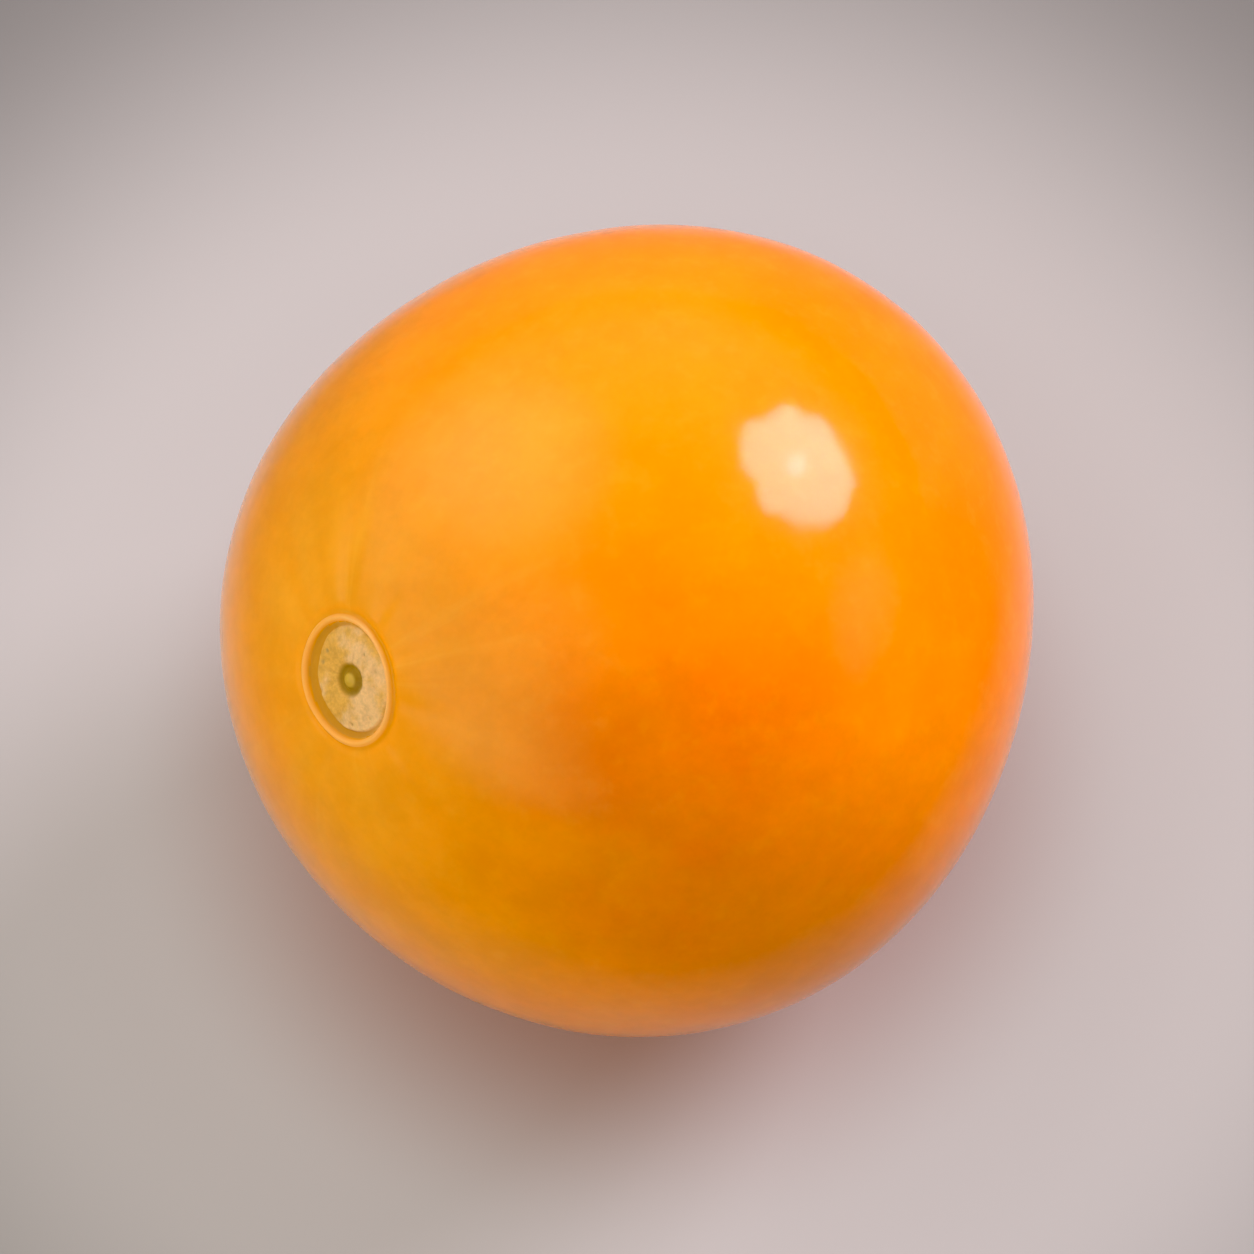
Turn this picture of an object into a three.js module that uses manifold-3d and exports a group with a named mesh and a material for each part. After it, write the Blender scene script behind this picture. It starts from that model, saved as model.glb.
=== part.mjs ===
import * as THREE from "three";
import { mergeVertices } from "three/addons/utils/BufferGeometryUtils.js";
import Module from "manifold-3d";

// A ripe physalis berry, out of its papery husk, lying on its side on a level surface.
// It is one grown piece, so it is one solid: a slightly egg-shaped body, the round scar where
// the stem and husk came off, the small point left by the flower at the far end, and the
// small flat on which the soft fruit rests.
// Units are millimetres, +Z is up, and the origin is on the surface, under the middle of the berry.

// The body
const MEAN_RADIUS = 10.95;
const ELONGATION = 0.019; // lengthening along the long axis, as a share of the mean radius
const TAPER = 0.028; // how far one end of the long axis is slimmer than the other, likewise
const LONG_AXIS = direction(51, 0); // towards the slimmer end, which lies level
const STEM_AXIS = direction(209.4, 38.9); // from the middle of the body to the stem scar
const REST_FLAT_DEPTH = 0.33; // how far the soft skin flattens under the berry's own weight

// Broad, shallow swells that keep the skin from being a perfect egg
const SWELL_HEIGHT = 0.02;
const SWELL_COUNT = 7;
const SWELL_RATE = 3.4; // about half this many swells across the berry

// The stem scar: a corky disc set in a thin raised lip. Distances are along the skin, from its middle.
const DISC_RADIUS = 1.62;
const DISC_DEPTH = 0.05;
const CORE_RINGS = [
  { at: 0.0, halfWidth: 0.16, height: 0.08 }, // core of the stem's sap bundle
  { at: 0.36, halfWidth: 0.11, height: -0.11 }, // groove round the core
];
const SCAR_RINGS = [
  { at: 0.95, halfWidth: 0.42, height: 0.04 }, // swollen middle of the corky disc
  { at: 1.62, halfWidth: 0.07, height: -0.1 }, // groove between disc and lip
  { at: 1.78, halfWidth: 0.08, height: 0.09 }, // lip of skin
  { at: 1.98, halfWidth: 0.12, height: -0.05 }, // crease outside the lip
];
const SCAR_NARROWING = 0.2; // how much closer to the core these rings are on one side, as a share
const SCAR_NARROW_SIDE = THREE.MathUtils.degToRad(63); // the turn about the stem axis at which they are
const ROUND_AGAIN = 4.0; // from this distance on, the berry is round about the stem axis
const BUNDLE_COUNT = 10; // small pits left by the husk's veins
const BUNDLE_RING_RADIUS = 1.16;
const BUNDLE_RADIUS = 0.12;
const BUNDLE_DEPTH = 0.06;

// The shoulder round the scar
const SHOULDER_REACH = 3.4;
const SHOULDER_DEPTH = 0.16;
const CREASE_COUNT = 10; // two under each of the husk's five lobes
const CREASE_DEPTH = 0.045;
const CREASE_START = 2.1;
const CREASE_REACH = 2.6;

// The blossom end, opposite the scar
const BLOSSOM_RINGS = [
  { at: 0.0, halfWidth: 1.5, height: -0.12 }, // shallow dimple
  { at: 0.0, halfWidth: 0.2, height: 0.12 }, // dried stub of the flower's style
  { at: 0.4, halfWidth: 0.12, height: -0.05 }, // crease round the stub
];

// The net of triangles: rings round the stem axis, with fewer points where the rings are small
const RING_POINTS = 72;
const SCAR_SPACING = 0.1;
const BODY_SPACING = 0.88;
const SPACING_GROWTH = 1.16; // from one ring to the next, between scar and body
const SCAR_EDGE = 2.2; // fine rings reach this far from the middle of the scar
const BLOSSOM_EDGE = 0.7; // and this far from the blossom point
const SMALLEST_EDGE = 0.07; // a ring whose points would lie closer has half as many

// A unit vector from an azimuth, counted from +X towards +Y, and an elevation, in degrees.
function direction(azimuth, elevation) {
  const polar = THREE.MathUtils.degToRad(90 - elevation);
  const turn = THREE.MathUtils.degToRad(azimuth);
  return new THREE.Vector3(
    Math.sin(polar) * Math.cos(turn),
    Math.sin(polar) * Math.sin(turn),
    Math.cos(polar),
  );
}

// Two vectors that make a right-handed frame with the stem axis, the first of them level.
const acrossStem = new THREE.Vector3(0, 0, 1).cross(STEM_AXIS).normalize();
const overStem = new THREE.Vector3().crossVectors(STEM_AXIS, acrossStem);

// The direction from the middle of the body at an angle from the stem axis and a turn about it.
function skinDirection(polar, turn) {
  return new THREE.Vector3()
    .addScaledVector(STEM_AXIS, Math.cos(polar))
    .addScaledVector(acrossStem, Math.sin(polar) * Math.cos(turn))
    .addScaledVector(overStem, Math.sin(polar) * Math.sin(turn));
}

// A smooth hump of the given height, centred where its distance is zero.
function hump(distance, halfWidth, height) {
  return height * Math.exp(-((distance / halfWidth) ** 2));
}

function ringRelief(rings, distance) {
  return rings.reduce((sum, ring) => sum + hump(distance - ring.at, ring.halfWidth, ring.height), 0);
}

// The egg: second and third Legendre polynomials of the cosine from the long axis.
function eggRadius(skin) {
  const along = skin.dot(LONG_AXIS);
  const lengthening = (3 * along ** 2 - 1) / 2;
  const tapering = (5 * along ** 3 - 3 * along) / 2;
  return MEAN_RADIUS * (1 + ELONGATION * lengthening + TAPER * tapering);
}

// Swells run across the berry in directions spread evenly over a sphere by the golden angle.
const GOLDEN_ANGLE = Math.PI * (3 - Math.sqrt(5));
const swellDirections = Array.from({ length: SWELL_COUNT }, (_, i) => {
  const height = 1 - (2 * i + 1) / SWELL_COUNT;
  const girth = Math.sqrt(1 - height ** 2);
  return new THREE.Vector3(girth * Math.cos(i * GOLDEN_ANGLE), girth * Math.sin(i * GOLDEN_ANGLE), height);
});

function swellRelief(skin) {
  return swellDirections.reduce(
    (sum, across, i) => sum + SWELL_HEIGHT * Math.sin(SWELL_RATE * skin.dot(across) + i),
    0,
  );
}

// Distances along the skin, counted so that the outline of the narrowed scar is round.
function scarDistance(distance, turn) {
  const side = ((1 + Math.cos(turn - SCAR_NARROW_SIDE)) / 2) ** 3;
  const near = 1 - THREE.MathUtils.smoothstep(distance, SCAR_EDGE, ROUND_AGAIN);
  return distance / (1 - SCAR_NARROWING * side * near);
}

function discRelief(distance) {
  return -DISC_DEPTH * (1 - THREE.MathUtils.smoothstep(distance, DISC_RADIUS - 0.1, DISC_RADIUS + 0.1));
}

function bundleRelief(distance, turn) {
  const step = (2 * Math.PI) / BUNDLE_COUNT;
  const aside = (turn - step * Math.round(turn / step)) * BUNDLE_RING_RADIUS;
  const away = Math.hypot(distance - BUNDLE_RING_RADIUS, aside);
  return hump(away, BUNDLE_RADIUS, -BUNDLE_DEPTH);
}

function shoulderRelief(distance, turn) {
  const dip = hump(distance, SHOULDER_REACH, -SHOULDER_DEPTH);
  const fade = hump(Math.max(0, distance - CREASE_START), CREASE_REACH, 1);
  const start = THREE.MathUtils.smoothstep(distance, CREASE_START - 0.4, CREASE_START + 0.4);
  const crease = ((1 + Math.cos(CREASE_COUNT * turn)) / 2) ** 3;
  return dip - CREASE_DEPTH * crease * fade * start;
}

// A point of the skin, from the middle of the body.
function skinPoint(polar, turn) {
  const skin = skinDirection(polar, turn);
  const fromCore = MEAN_RADIUS * polar;
  const fromScar = scarDistance(fromCore, turn);
  const fromBlossom = MEAN_RADIUS * (Math.PI - polar);
  const relief =
    swellRelief(skin) +
    discRelief(fromScar) +
    ringRelief(CORE_RINGS, fromCore) +
    ringRelief(SCAR_RINGS, fromScar) +
    bundleRelief(fromScar, turn) +
    shoulderRelief(fromScar, turn) +
    ringRelief(BLOSSOM_RINGS, fromBlossom);
  return skin.multiplyScalar(eggRadius(skin) + relief);
}

// Distances of the rings from the middle of the scar: close together there and at the blossom
// point, and growing evenly to the wide spacing of the body in between.
function ringDistances() {
  const whole = Math.PI * MEAN_RADIUS;
  const spacingAt = (distance) => {
    const pastFine = Math.max(0, Math.min(distance - SCAR_EDGE, whole - BLOSSOM_EDGE - distance));
    return Math.min(BODY_SPACING, SCAR_SPACING + (SPACING_GROWTH - 1) * pastFine);
  };
  const distances = [];
  for (let d = SCAR_SPACING; d < whole - SCAR_SPACING; d += spacingAt(d)) distances.push(d);
  const stretch = (whole - SCAR_SPACING) / distances.at(-1);
  return distances.map((d) => (d > SCAR_EDGE ? d + (stretch - 1) * (d - SCAR_EDGE) : d));
}

// How many points a ring has: the full number, halved until its edges are long enough.
function pointsOf(distance) {
  const girth = 2 * Math.PI * MEAN_RADIUS * Math.sin(distance / MEAN_RADIUS);
  let points = RING_POINTS;
  while (points % 2 === 0 && girth / points < SMALLEST_EDGE) points /= 2;
  return points;
}

// Joins two neighbouring rings, where the second may have as many, twice as many or half as many points.
function bridge(faces, upper, lower) {
  const wide = upper.length >= lower.length ? upper : lower;
  const slim = wide === upper ? lower : upper;
  const ratio = wide.length / slim.length;
  const add = (a, b, c) => faces.push(...(wide === lower ? [a, b, c] : [a, c, b]));
  for (let i = 0; i < wide.length; i++) {
    const here = slim[Math.round(i / ratio) % slim.length];
    const next = slim[Math.round((i + 1) / ratio) % slim.length];
    add(here, wide[i], wide[(i + 1) % wide.length]);
    if (next !== here) add(here, wide[(i + 1) % wide.length], next);
  }
}

function skinGeometry() {
  const points = [];
  const faces = [];
  const addPoint = (polar, turn) => points.push(...skinPoint(polar, turn).toArray()) / 3 - 1;
  const scarMiddle = addPoint(0, 0);
  const rings = ringDistances().map((distance) =>
    Array.from({ length: pointsOf(distance) }, (_, i, n = pointsOf(distance)) =>
      addPoint(distance / MEAN_RADIUS, (2 * Math.PI * i) / n),
    ),
  );
  const blossomPoint = addPoint(Math.PI, 0);
  const first = rings[0];
  const last = rings.at(-1);
  first.forEach((p, i) => faces.push(scarMiddle, p, first[(i + 1) % first.length]));
  rings.slice(1).forEach((ring, i) => bridge(faces, rings[i], ring));
  last.forEach((p, i) => faces.push(blossomPoint, last[(i + 1) % last.length], p));
  const geometry = new THREE.BufferGeometry();
  geometry.setAttribute("position", new THREE.Float32BufferAttribute(points, 3));
  return geometry.setIndex(faces);
}

// Puts the berry over the origin, sunk by the depth of the flat on which it rests.
function settle(geometry) {
  geometry.computeBoundingBox();
  const { min, max } = geometry.boundingBox;
  return geometry.translate(-(min.x + max.x) / 2, -(min.y + max.y) / 2, -min.z - REST_FLAT_DEPTH);
}

const wasm = await Module();
wasm.setup();

function solidOf(geometry) {
  const bare = geometry.clone().deleteAttribute("normal").deleteAttribute("uv");
  const merged = mergeVertices(bare);
  const vertProperties = new Float32Array(merged.attributes.position.array);
  return new wasm.Manifold(
    new wasm.Mesh({ numProp: 3, vertProperties, triVerts: new Uint32Array(merged.index.array) }),
  );
}

function geometryOf(solid) {
  const mesh = solid.getMesh();
  const geometry = new THREE.BufferGeometry();
  geometry.setAttribute("position", new THREE.BufferAttribute(mesh.vertProperties, 3));
  geometry.setIndex(new THREE.BufferAttribute(mesh.triVerts, 1));
  geometry.computeVertexNormals();
  return geometry;
}

// The flat is where the level surface cuts the skin.
function berryGeometry() {
  const slabSide = 4 * MEAN_RADIUS;
  const slab = new THREE.BoxGeometry(slabSide, slabSide, slabSide).translate(0, 0, -slabSide / 2);
  return geometryOf(solidOf(settle(skinGeometry())).subtract(solidOf(slab)));
}

const skinMaterial = new THREE.MeshStandardMaterial({
  color: 0xf79410,
  roughness: 0.28,
  metalness: 0,
});

const berry = new THREE.Mesh(berryGeometry(), skinMaterial);
berry.name = "berry";

const part = new THREE.Group();
part.add(berry);

export default part;
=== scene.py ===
import math

import bpy
import numpy as np
from bpy.props import FloatProperty, FloatVectorProperty, IntProperty, PointerProperty
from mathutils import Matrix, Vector, noise


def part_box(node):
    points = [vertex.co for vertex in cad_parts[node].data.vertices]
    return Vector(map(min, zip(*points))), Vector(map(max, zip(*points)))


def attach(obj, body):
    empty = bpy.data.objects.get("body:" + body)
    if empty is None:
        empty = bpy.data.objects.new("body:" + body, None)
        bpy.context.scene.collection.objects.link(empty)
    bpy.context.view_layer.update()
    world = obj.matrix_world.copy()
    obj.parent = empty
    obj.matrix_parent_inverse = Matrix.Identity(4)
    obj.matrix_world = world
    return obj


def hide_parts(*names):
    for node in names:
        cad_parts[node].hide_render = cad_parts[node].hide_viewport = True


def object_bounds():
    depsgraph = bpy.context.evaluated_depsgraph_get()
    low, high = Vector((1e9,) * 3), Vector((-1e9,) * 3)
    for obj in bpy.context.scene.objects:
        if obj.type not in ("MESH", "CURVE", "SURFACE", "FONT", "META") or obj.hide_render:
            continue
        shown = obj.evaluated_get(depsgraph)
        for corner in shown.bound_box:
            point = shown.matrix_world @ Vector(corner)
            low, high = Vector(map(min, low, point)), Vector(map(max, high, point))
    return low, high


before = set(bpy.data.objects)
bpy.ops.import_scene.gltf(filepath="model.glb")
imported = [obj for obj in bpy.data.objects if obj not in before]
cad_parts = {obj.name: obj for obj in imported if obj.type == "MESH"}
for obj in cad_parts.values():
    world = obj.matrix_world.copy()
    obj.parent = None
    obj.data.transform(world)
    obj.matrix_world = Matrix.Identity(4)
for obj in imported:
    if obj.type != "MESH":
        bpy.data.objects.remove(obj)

bl_info = {
    "name": "Physalis Berry",
    "version": (1, 0, 0),
    "blender": (4, 5, 0),
    "location": "3D Viewport > Sidebar > Physalis",
    "description": "Makes a ripe physalis berry out of its husk, and a pale studio to show it in",
    "category": "Add Mesh",
}

# The solid berry that everything here is fitted to, in metres.
CAD_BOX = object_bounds()
BERRY_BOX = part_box("berry")

# Lengths below are in millimetres, and MM turns them into metres.
MM = 0.001


def direction(azimuth, elevation):
    """A unit vector from an azimuth, counted from +X towards +Y, and an elevation, in degrees."""
    turn, rise = math.radians(azimuth), math.radians(elevation)
    return np.array(
        [math.cos(rise) * math.cos(turn), math.cos(rise) * math.sin(turn), math.sin(rise)]
    )


# The body
LONG_AXIS = direction(51, 0)  # towards the slimmer end, which lies level
STEM_AXIS = direction(209.4, 38.9)  # from the middle of the body to the stem scar
ACROSS_STEM = np.cross([0, 0, 1], STEM_AXIS) / np.linalg.norm(np.cross([0, 0, 1], STEM_AXIS))
OVER_STEM = np.cross(STEM_AXIS, ACROSS_STEM)
ELONGATION = 0.019  # lengthening along the long axis, as a share of the mean radius
TAPER = 0.028  # how far one end of the long axis is slimmer, likewise
REST_FLAT_DEPTH = 0.33  # how far the soft skin flattens where the berry lies
SWELL_COUNT = 7
SWELL_HEIGHT = 0.02
SWELL_RATE = 3.4  # about half this many swells across the berry

# The berry is as high as its box and the part that the flat takes off, and as wide as its box.
box_width, box_depth, box_height = ((BERRY_BOX[1] - BERRY_BOX[0]) / MM)[:]
BOX_RADIUS = (box_width + box_depth + box_height + REST_FLAT_DEPTH) / 6

# The stem scar: rings of relief round its middle, by their distance along the skin
CORE_RADIUS = 0.464
DISC_RADIUS = 1.6
DISC_EDGE = 0.1  # half the width of its sloping edge
DISC_DEPTH = 0.05
DISC_TILT = 0.02  # how far the disc's lower edge stands below its middle, and the upper above
LIP_RADIUS = 1.73
CORE_RINGS = (
    # distance, half width, height
    (0.0, 0.15, 0.08),  # core of the stem's sap bundle
    (0.34, 0.1, -0.11),  # groove round the core
)
SCAR_RINGS = (
    (0.95, 0.42, 0.04),  # swollen middle of the corky disc
    (1.96, 0.12, -0.05),  # crease outside the lip
)
GAP_RADIUS = 1.6  # outer edge of the gap between disc and lip
GAP_WIDTH = 0.38  # on its open side
GAP_EDGE = 0.08
GAP_DEPTH = 0.1
GAP_CLOSED_SHARE = 0.4  # its depth on the closed side, as a share
GAP_OPEN_SIDE = math.radians(250)  # where the disc has pulled furthest from the lip
LIP_HALF_WIDTH = 0.065
LIP_CLOSED_SHARE = 0.6  # the lip's height on the closed side, as a share
CONTACT_RADIUS = 1.89  # the line where the lip meets the skin, on the side without a gap, painted dark as its shade
CONTACT_HALF_WIDTH = 0.085
CONTACT_DEPTH = 0.06
CORK_GRAIN = 0.16  # size of the cork's grain
CORK_ROUGHNESS = 0.016
CORK_START = (0.1, 0.5)  # distances between which the cork's roughness begins
FISSURE_SPOKES = 5  # the higher, the more fissures run round the disc
FISSURE_RATE = 1.6  # the higher, the shorter they are
CORK_MIX = 0.6  # share of the fissures, and of the grain, in the cork's relief
BUNDLE_COUNT = 10  # pits left by the husk's veins
BUNDLE_RING_RADIUS = 1.16
BUNDLE_RADIUS = 0.085
BUNDLE_DEPTH = 0.07
BUNDLE_DRIFT = (-0.1, 0.12)  # how far a pit strays inwards and outwards from its ring
BUNDLE_TURN_DRIFT = 0.25  # and along it, as a share of the way to the next pit
BUNDLE_SIZES = (0.7, 1.3)  # smallest and largest pit, as a share of the radius
BUNDLE_DEPTHS = (0.4, 1.0)  # shallowest and deepest pit, as a share of the depth
SCAR_SHARES = ("cork", "pit", "gap", "contact")  # what the materials need to know of each point
SCAR_WANDER = 0.022  # how far the scar's rings depart from round, as a share of their radius
SCAR_NARROWING = 0.2  # how much closer to the core they are on one side, likewise
SCAR_NARROW_SIDE = math.radians(63)  # the turn at which they are closest
LIP_WANDER = 0.35  # how far the lip's height departs from its mean, as a share
GAP_WANDER = 0.35  # how far the widths of gap and contact line do, likewise
CREASE_WANDER = 0.6  # how far the depth of the shoulder's creases does, likewise
SCAR_REACH = 3.0  # from this distance on, the scar's relief is next to nothing

# The shoulder round the scar
SHOULDER_REACH = 3.4
SHOULDER_DEPTH = 0.16
CREASE_COUNT = 10
CREASE_START = 2.1
CREASE_EDGE = 0.4  # how gently they begin
CREASE_REACH = 2.6

# The blossom end
BLOSSOM_RINGS = (
    (0.0, 1.5, -0.12),  # shallow dimple
    (0.0, 0.2, 0.14),  # dried stub of the flower's style
    (0.4, 0.12, -0.06),  # crease round the stub
)
STUB_RADIUS = 0.34

# The mesh: rings round the stem axis, fine at the scar and the blossom point
COLUMNS = 320
FINE_SPACING = 0.03
BODY_SPACING = 0.205
SPACING_GROWTH = 0.055  # of a ring's spacing, for each millimetre away from the fine ends
SCAR_EDGE = 2.2  # up to this distance, rings are fine and follow the scar's outline
ROUND_AGAIN = 4.0  # and from this one on, they are round
BLOSSOM_EDGE = 0.5

# The dimples: a second, finer set is laid over the first.
DIMPLE_START = (2.0, 3.0)  # distances from the scar between which they begin
FINE_DIMPLE_SHARE = 0.3
FINE_DIMPLE_SIZE = 0.35


class BerryShape(bpy.types.PropertyGroup):
    """Sizes of the berry that a user may change."""

    mean_radius: FloatProperty(
        name="Mean Radius",
        description="Mean radius of the berry's body",
        default=BOX_RADIUS * MM,
        min=5 * MM,
        max=15 * MM,
        precision=5,
        unit="LENGTH",
    )
    lip_height: FloatProperty(
        name="Lip Height",
        description="Height of the raised lip round the stem scar",
        default=0.075 * MM,
        min=0.0,
        max=0.5 * MM,
        precision=5,
        unit="LENGTH",
    )
    crease_depth: FloatProperty(
        name="Crease Depth",
        description="Depth of the creases that run out from the scar",
        default=0.045 * MM,
        min=0.0,
        max=0.2 * MM,
        precision=6,
        unit="LENGTH",
    )
    dimple_size: FloatProperty(
        name="Dimple Size",
        description="Width of the faint dimples that make the gloss waver",
        default=1.7 * MM,
        min=0.5 * MM,
        max=5 * MM,
        precision=5,
        unit="LENGTH",
    )
    dimple_depth: FloatProperty(
        name="Dimple Depth",
        description="Depth of those dimples",
        default=0.011 * MM,
        min=0.0,
        max=0.1 * MM,
        precision=6,
        unit="LENGTH",
    )
    seed: IntProperty(
        name="Seed",
        description="Start of the random draws for the scar's uneven outline and pits",
        default=11,
        min=0,
    )


def colour_property(name, description, default):
    """A colour that a user may change, in linear light."""
    return FloatVectorProperty(
        name=name, description=description, default=default, subtype="COLOR", min=0.0, max=1.0
    )


class BerryColours(bpy.types.PropertyGroup):
    """Colours of the berry that a user may change."""

    golden: colour_property("Golden", "Skin in the middle of the berry", (0.91, 0.257, 0.013))
    ochre: colour_property("Ochre", "Skin near the stem scar", (0.87, 0.325, 0.024))
    amber: colour_property("Amber", "Skin towards the blossom end", (0.87, 0.2, 0.003))
    # Deep orange patch: partly the berry's riper colour, partly painted shade for darker surroundings
    # reflected in the skin
    blush_and_shade: colour_property("Blush", "Ripest patch, deep orange", (0.81, 0.142, 0.002))
    vein: colour_property("Vein", "Pale streaks that run out from the scar", (0.97, 0.45, 0.05))
    lip: colour_property("Lip", "Dry lip round the scar", (0.88, 0.43, 0.1))
    cork: colour_property("Cork", "Corky disc of the scar", (0.72, 0.37, 0.065))
    cork_pink: colour_property("Cork Pink", "Pinkish patches of the disc", (0.8, 0.47, 0.18))
    # Painted shade: this dark colour is laid in the gap between disc and lip, and along the line
    # outside the lip
    gap: colour_property("Gap", "Gap between disc and lip", (0.56, 0.24, 0.018))
    core: colour_property("Core", "Ring round the core of the scar", (0.32, 0.17, 0.01))
    pip: colour_property("Pip", "Core of the scar", (0.6, 0.36, 0.04))
    fleck: colour_property("Fleck", "Pits left by the husk's veins", (0.4, 0.26, 0.08))
    stub: colour_property("Stub", "Dried stub at the blossom end", (0.2, 0.085, 0.02))


class StudioSettings(bpy.types.PropertyGroup):
    """Camera, floor and lights that a user may change."""

    camera_elevation: FloatProperty(
        name="Camera Elevation",
        description="Height of the camera above level",
        default=math.radians(68),
        min=0.0,
        max=math.radians(90),
        subtype="ANGLE",
        unit="ROTATION",
    )
    camera_distance: FloatProperty(
        name="Camera Distance",
        description="From the camera to the middle of the berry",
        default=0.24,
        min=0.05,
        max=2.0,
        unit="LENGTH",
    )
    frame_share: FloatProperty(
        name="Share of Frame",
        description="Width of the berry as a share of the picture's width",
        default=0.65,
        min=0.1,
        max=1.0,
        subtype="FACTOR",
    )
    key_radiance: FloatProperty(
        name="Key Light",
        description="Brightness of the soft box, where a white page in full light is 1",
        default=18.5,
        min=0.0,
    )
    room_radiance: FloatProperty(
        name="Room",
        description="Brightness of the room's white walls, on the same scale",
        default=0.64,
        min=0.0,
    )
    # Painted pool of light: the floor is paler round the berry than further away
    floor_colour: colour_property("Floor", "Floor round the berry", (0.28, 0.255, 0.24))
    floor_far: colour_property("Far Floor", "Floor further away", (0.115, 0.105, 0.1))
    # Painted contact shadow: a dim warm glow beside the berry, which also stands in for warm light from
    # the berry
    floor_painted_shadow_tint: colour_property("Floor Tint", "Glow of the floor beside the berry", (0.12, 0.03, 0.01))
    # Painted light: the floor glows though it is no lamp, which lightens its shadows
    floor_painted_glow: FloatProperty(
        name="Floor Glow",
        description="How brightly the floor is lit from below, as a share of its light from above",
        default=0.8,
        min=0.0,
        max=2.0,
        subtype="FACTOR",
    )


# Shape of the berry. Distances are along the skin from the middle of the scar, one for each ring,
# and turns are about the stem axis, one for each column.


def hump(distance, half_width, height):
    return height * np.exp(-((distance / half_width) ** 2))


def smooth_step(value, low, high):
    share = np.clip((value - low) / (high - low), 0, 1)
    return share * share * (3 - 2 * share)


def ring_relief(rings, distance):
    return sum(hump(distance - at, half_width, height) for at, half_width, height in rings)


def noise_at(points, size, octaves=1):
    """Smooth noise, about -1 to 1, at points in millimetres. Its blobs are about size across."""
    flat = points.reshape(-1, 3) / size
    values = [noise.fractal(Vector(p), 1.0, 2.0, octaves) for p in flat]
    return np.array(values).reshape(points.shape[:-1])


def skin_directions(distances, turns, radius):
    polar = distances[:, None] / radius
    turn = turns[None, :]
    return (
        np.cos(polar)[..., None] * STEM_AXIS
        + (np.sin(polar) * np.cos(turn))[..., None] * ACROSS_STEM
        + (np.sin(polar) * np.sin(turn))[..., None] * OVER_STEM
    )


def egg_radius(skin, radius):
    """Second and third Legendre polynomials of the cosine from the long axis."""
    along = skin @ LONG_AXIS
    lengthening = (3 * along**2 - 1) / 2
    tapering = (5 * along**3 - 3 * along) / 2
    return radius * (1 + ELONGATION * lengthening + TAPER * tapering)


def swell_relief(skin):
    """Broad swells, in directions spread evenly over a sphere by the golden angle."""
    golden_angle = math.pi * (3 - math.sqrt(5))
    relief = np.zeros(skin.shape[:-1])
    for i in range(SWELL_COUNT):
        height = 1 - (2 * i + 1) / SWELL_COUNT
        girth = math.sqrt(1 - height**2)
        turn = i * golden_angle
        across = np.array([girth * math.cos(turn), girth * math.sin(turn), height])
        relief += SWELL_HEIGHT * np.sin(SWELL_RATE * (skin @ across) + i)
    return relief


def wander(turns, draws, waves):
    """An uneven outline, about -1 to 1: a few waves round the scar with random starts."""
    starts = draws.uniform(0, 2 * math.pi, waves)
    total = sum(np.sin((k + 2) * turns + starts[k]) / (k + 1) for k in range(waves))
    return total / sum(1 / (k + 1) for k in range(waves))


class ScarPlan:
    """The uneven outline and the pits of one scar, drawn at random from a seed."""

    def __init__(self, turns, seed):
        draws = np.random.default_rng(seed)
        narrow_side = ((1 + np.cos(turns - SCAR_NARROW_SIDE)) / 2) ** 3
        self.outline = 1 - SCAR_NARROWING * narrow_side
        self.outline += SCAR_WANDER * wander(turns, draws, waves=5)
        self.lip = 1 + LIP_WANDER * wander(turns, draws, waves=9)
        self.gap = 1 + GAP_WANDER * wander(turns, draws, waves=8)
        self.creases = 1 + CREASE_WANDER * wander(turns, draws, waves=6)
        self.pits = [
            (
                BUNDLE_RING_RADIUS + draws.uniform(*BUNDLE_DRIFT),
                2 * math.pi * (i + draws.uniform(-BUNDLE_TURN_DRIFT, BUNDLE_TURN_DRIFT)) / BUNDLE_COUNT,
                BUNDLE_RADIUS * draws.uniform(*BUNDLE_SIZES),
                draws.uniform(*BUNDLE_DEPTHS),
            )
            for i in range(BUNDLE_COUNT)
        ]


def pit_share(distance, turns, plan):
    """How deep in a pit each point of the scar lies, from 0 to 1."""
    x, y = distance * np.cos(turns), distance * np.sin(turns)
    share = np.zeros(distance.shape)
    for away, turn, radius, depth in plan.pits:
        from_pit = np.hypot(x - away * math.cos(turn), y - away * math.sin(turn))
        share = np.maximum(share, hump(from_pit, radius, depth))
    return share


def open_share(turns):
    """1 on the side where the disc has pulled away from the lip, and 0 on the other."""
    return (1 + np.cos(turns - GAP_OPEN_SIDE)) / 2


def gap_share(distance, turns, plan):
    """How deep in the gap between disc and lip each point lies, from 0 to 1."""
    opened = open_share(turns)
    start = GAP_RADIUS - GAP_WIDTH * opened**2 * plan.gap
    past_disc = smooth_step(distance, start - GAP_EDGE, start)
    before_lip = 1 - smooth_step(distance, GAP_RADIUS, GAP_RADIUS + GAP_EDGE)
    return past_disc * before_lip * (GAP_CLOSED_SHARE + (1 - GAP_CLOSED_SHARE) * opened)


def contact_share(distance, turns, plan):
    """How deep in the line outside the lip each point lies, from 0 to 1."""
    closed = 1 - open_share(turns)
    return hump(distance - CONTACT_RADIUS, CONTACT_HALF_WIDTH * plan.gap, closed)


def cork_relief(distance, turns, skin):
    """Fissures that run outwards over the corky disc, and its grain, about -1 to 1."""
    x, y = FISSURE_SPOKES * np.cos(turns), FISSURE_SPOKES * np.sin(turns)
    spokes = np.stack(np.broadcast_arrays(x, y, FISSURE_RATE * distance), -1)
    grain = noise_at(skin * BOX_RADIUS, CORK_GRAIN, octaves=3)
    return CORK_MIX * noise_at(spokes, 1.0, octaves=3) + CORK_MIX * grain


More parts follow.
